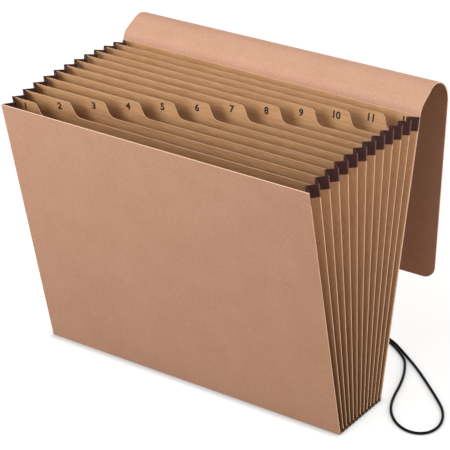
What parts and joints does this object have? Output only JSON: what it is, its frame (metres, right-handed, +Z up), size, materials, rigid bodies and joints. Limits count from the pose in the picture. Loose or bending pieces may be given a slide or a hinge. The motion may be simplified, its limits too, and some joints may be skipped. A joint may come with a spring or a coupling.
{
  "type": "accordion file folder",
  "caption": "Expanding accordion file: a fan of indexed dividers between two board covers, joined by pleated gussets, with a fold-over flap and an elastic cord.",
  "frame": {"origin": "on the floor, under the middle of the pleated base, where the middle crease rests", "axes": "+X along the covers to the right seen from the front, +Y from the front cover to the back cover, +Z up"},
  "size_m": [0.3686, 0.2216, 0.2707],
  "materials": {
    "kraft_board": "matte",
    "kraft_paper": "matte",
    "gusset_paper": "matte",
    "woven_tape": "matte",
    "eyelet_metal": "satin",
    "elastic": "matte"
  },
  "bodies": {
    "back": {"back_cover": "kraft_board", "divider_12": "kraft_paper", "bottom_gusset": "gusset_paper", "cord_eyelet": "eyelet_metal", "cord_clip": "eyelet_metal", "elastic_cord": "elastic"},
    "front": {"front_cover": "kraft_board", "gusset_pleat_01": "gusset_paper", "gusset_tape_01": "woven_tape"},
    "divider_01": {"divider_01": "kraft_paper", "gusset_pleat_02": "gusset_paper", "gusset_tape_02": "woven_tape"},
    "divider_02": {"divider_02": "kraft_paper", "gusset_pleat_03": "gusset_paper", "gusset_tape_03": "woven_tape"},
    "divider_03": {"divider_03": "kraft_paper", "gusset_pleat_04": "gusset_paper", "gusset_tape_04": "woven_tape"},
    "divider_04": {"divider_04": "kraft_paper", "gusset_pleat_05": "gusset_paper", "gusset_tape_05": "woven_tape"},
    "divider_05": {"divider_05": "kraft_paper", "gusset_pleat_06": "gusset_paper", "gusset_tape_06": "woven_tape"},
    "divider_06": {"divider_06": "kraft_paper", "gusset_pleat_07": "gusset_paper", "gusset_tape_07": "woven_tape"},
    "divider_07": {"divider_07": "kraft_paper", "gusset_pleat_08": "gusset_paper", "gusset_tape_08": "woven_tape"},
    "divider_08": {"divider_08": "kraft_paper", "gusset_pleat_09": "gusset_paper", "gusset_tape_09": "woven_tape"},
    "divider_09": {"divider_09": "kraft_paper", "gusset_pleat_10": "gusset_paper", "gusset_tape_10": "woven_tape"},
    "divider_10": {"divider_10": "kraft_paper", "gusset_pleat_11": "gusset_paper", "gusset_tape_11": "woven_tape"},
    "divider_11": {"divider_11": "kraft_paper", "gusset_pleat_12": "gusset_paper", "gusset_tape_12": "woven_tape"},
    "flap_strip_1": {"flap_strip_1": "kraft_board"},
    "flap_strip_2": {"flap_strip_2": "kraft_board"},
    "flap_strip_3": {"flap_strip_3": "kraft_board"},
    "flap_panel": {"flap_panel": "kraft_board"}
  },
  "joints": [
    {"name": "fan", "type": "hinge", "parent": "back", "child": "front", "pos_m": [0, -0.03321, 0.0005], "axis": [-1, 0, 0], "range_deg": [-10, 23.5], "deforming": ["gusset_pleat_01", "gusset_tape_01"]},
    {"name": "divider_01_fan", "type": "hinge", "parent": "back", "child": "divider_01", "pos_m": [0, -0.02779, 0.00334], "axis": [-1, 0, 0], "range_deg": [-9.22, 21.59], "deforming": ["gusset_pleat_02", "gusset_tape_02"]},
    {"name": "divider_02_fan", "type": "hinge", "parent": "back", "child": "divider_02", "pos_m": [0, -0.02225, 0.00336], "axis": [-1, 0, 0], "range_deg": [-8.38, 19.63], "deforming": ["gusset_pleat_03", "gusset_tape_03"]},
    {"name": "divider_03_fan", "type": "hinge", "parent": "back", "child": "divider_03", "pos_m": [0, -0.0167, 0.00337], "axis": [-1, 0, 0], "range_deg": [-7.55, 17.68], "deforming": ["gusset_pleat_04", "gusset_tape_04"]},
    {"name": "divider_04_fan", "type": "hinge", "parent": "back", "child": "divider_04", "pos_m": [0, -0.01115, 0.00339], "axis": [-1, 0, 0], "range_deg": [-6.72, 15.72], "deforming": ["gusset_pleat_05", "gusset_tape_05"]},
    {"name": "divider_05_fan", "type": "hinge", "parent": "back", "child": "divider_05", "pos_m": [0, -0.0056, 0.0034], "axis": [-1, 0, 0], "range_deg": [-5.88, 13.76], "deforming": ["gusset_pleat_06", "gusset_tape_06"]},
    {"name": "divider_06_fan", "type": "hinge", "parent": "back", "child": "divider_06", "pos_m": [0, -0.00006, 0.0034], "axis": [-1, 0, 0], "range_deg": [-5.05, 11.8], "deforming": ["gusset_pleat_07", "gusset_tape_07"]},
    {"name": "divider_07_fan", "type": "hinge", "parent": "back", "child": "divider_07", "pos_m": [0, 0.00549, 0.0034], "axis": [-1, 0, 0], "range_deg": [-4.22, 9.84], "deforming": ["gusset_pleat_08", "gusset_tape_08"]},
    {"name": "divider_08_fan", "type": "hinge", "parent": "back", "child": "divider_08", "pos_m": [0, 0.01104, 0.0034], "axis": [-1, 0, 0], "range_deg": [-3.38, 7.88], "deforming": ["gusset_pleat_09", "gusset_tape_09"]},
    {"name": "divider_09_fan", "type": "hinge", "parent": "back", "child": "divider_09", "pos_m": [0, 0.01659, 0.00339], "axis": [-1, 0, 0], "range_deg": [-2.55, 5.92], "deforming": ["gusset_pleat_10", "gusset_tape_10"]},
    {"name": "divider_10_fan", "type": "hinge", "parent": "back", "child": "divider_10", "pos_m": [0, 0.02213, 0.00337], "axis": [-1, 0, 0], "range_deg": [-1.72, 3.97], "deforming": ["gusset_pleat_11", "gusset_tape_11"]},
    {"name": "divider_11_fan", "type": "hinge", "parent": "back", "child": "divider_11", "pos_m": [0, 0.02768, 0.00336], "axis": [-1, 0, 0], "range_deg": [-0.88, 2.01], "deforming": ["gusset_pleat_12", "gusset_tape_12"]},
    {"name": "flap_fold_1", "type": "hinge", "parent": "back", "child": "flap_strip_1", "pos_m": [0, 0.08543, 0.25934], "axis": [1, 0, 0], "range_deg": [0, 70]},
    {"name": "flap_fold_2", "type": "hinge", "parent": "flap_strip_1", "child": "flap_strip_2", "pos_m": [0, 0.09945, 0.26951], "axis": [1, 0, 0], "range_deg": [-0.05, 70.05]},
    {"name": "flap_fold_3", "type": "hinge", "parent": "flap_strip_2", "child": "flap_strip_3", "pos_m": [0, 0.11664, 0.26737], "axis": [1, 0, 0], "range_deg": [-0.05, 70.05]},
    {"name": "flap_fold_4", "type": "hinge", "parent": "flap_strip_3", "child": "flap_panel", "pos_m": [0, 0.12773, 0.25407], "axis": [1, 0, 0], "range_deg": [-0.05, 70.05]}
  ],
  "couplings": [
    {"joint": "divider_01_fan", "follows": "fan", "ratio": 0.91667},
    {"joint": "divider_02_fan", "follows": "fan", "ratio": 0.83333},
    {"joint": "divider_03_fan", "follows": "fan", "ratio": 0.75},
    {"joint": "divider_04_fan", "follows": "fan", "ratio": 0.66667},
    {"joint": "divider_05_fan", "follows": "fan", "ratio": 0.58333},
    {"joint": "divider_06_fan", "follows": "fan", "ratio": 0.5},
    {"joint": "divider_07_fan", "follows": "fan", "ratio": 0.41667},
    {"joint": "divider_08_fan", "follows": "fan", "ratio": 0.33333},
    {"joint": "divider_09_fan", "follows": "fan", "ratio": 0.25},
    {"joint": "divider_10_fan", "follows": "fan", "ratio": 0.16667},
    {"joint": "divider_11_fan", "follows": "fan", "ratio": 0.083333},
    {"joint": "flap_fold_2", "follows": "flap_fold_1", "ratio": 1},
    {"joint": "flap_fold_3", "follows": "flap_fold_1", "ratio": 1},
    {"joint": "flap_fold_4", "follows": "flap_fold_1", "ratio": 1}
  ]
}
